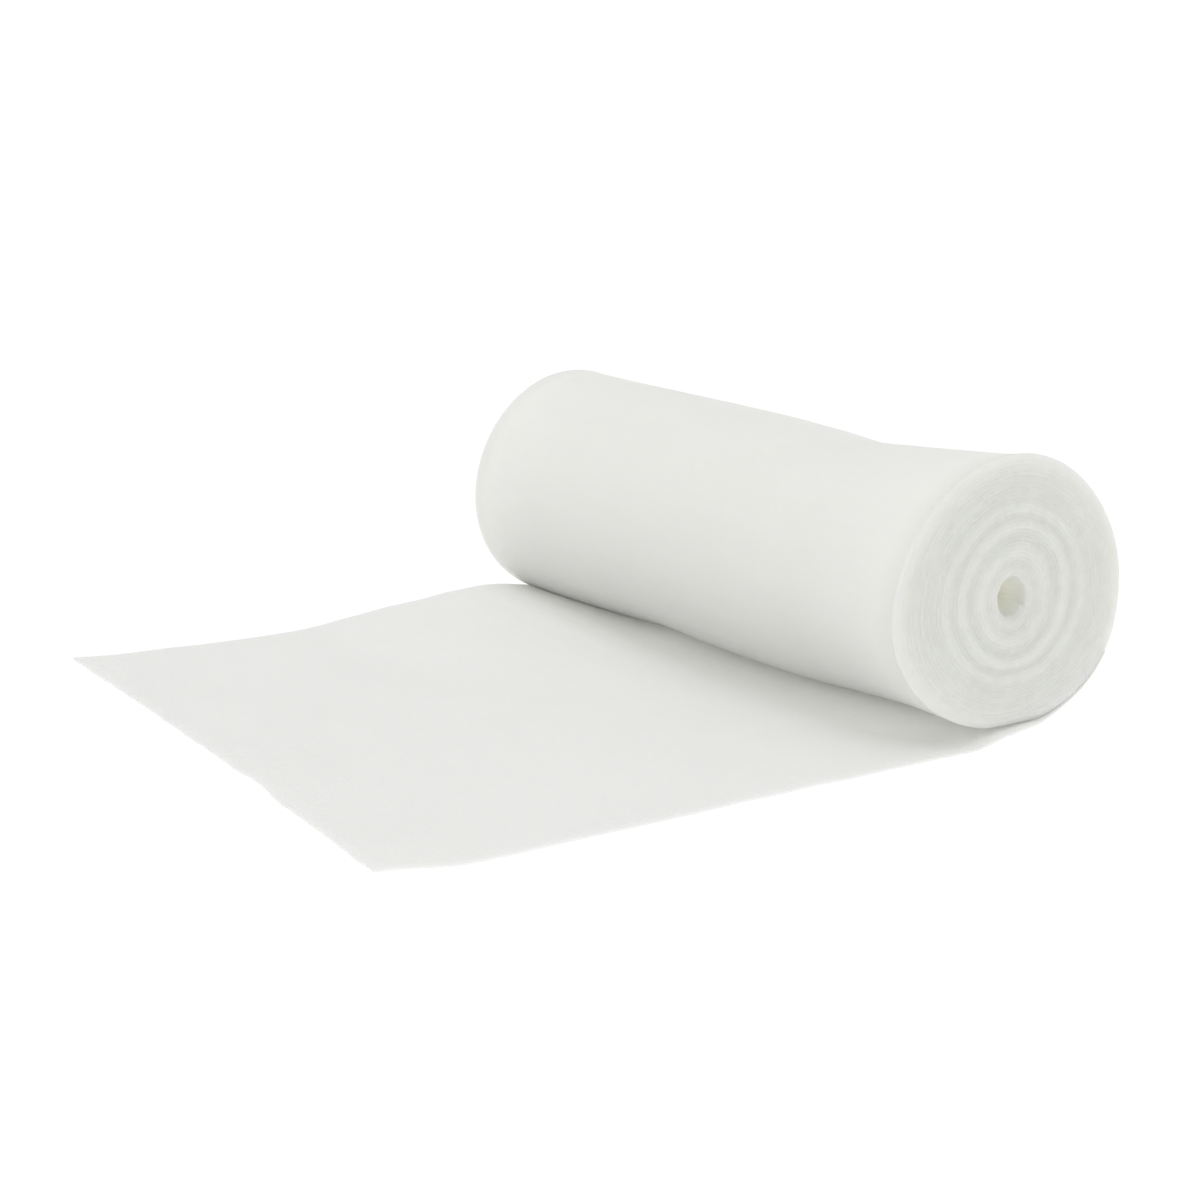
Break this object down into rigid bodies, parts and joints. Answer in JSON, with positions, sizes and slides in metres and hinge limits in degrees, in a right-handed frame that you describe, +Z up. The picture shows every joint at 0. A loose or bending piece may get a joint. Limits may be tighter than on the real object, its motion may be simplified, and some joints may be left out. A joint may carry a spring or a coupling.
{
  "type": "gauze bandage roll",
  "caption": "Soft gauze bandage wound on itself around an open core, its loose end drawn out from underneath and laid flat, for wrapping and holding a dressing.",
  "frame": {"origin": "on the surface that the bandage rests on, under the roll's axis, at the middle of the strip's width", "axes": "+Z up; Y along the roll's axis and across the strip; the loose end runs towards -X"},
  "size_m": [0.1015, 0.1, 0.0366],
  "materials": {
    "gauze_roll": "matt off-white woven gauze with fine creases along the roll",
    "gauze_loose_end": "matt off-white woven gauze, one slightly sheer layer"
  },
  "bodies": {
    "root": {"wound_roll": "gauze_roll", "loose_end": "gauze_loose_end"}
  },
  "joints": []
}
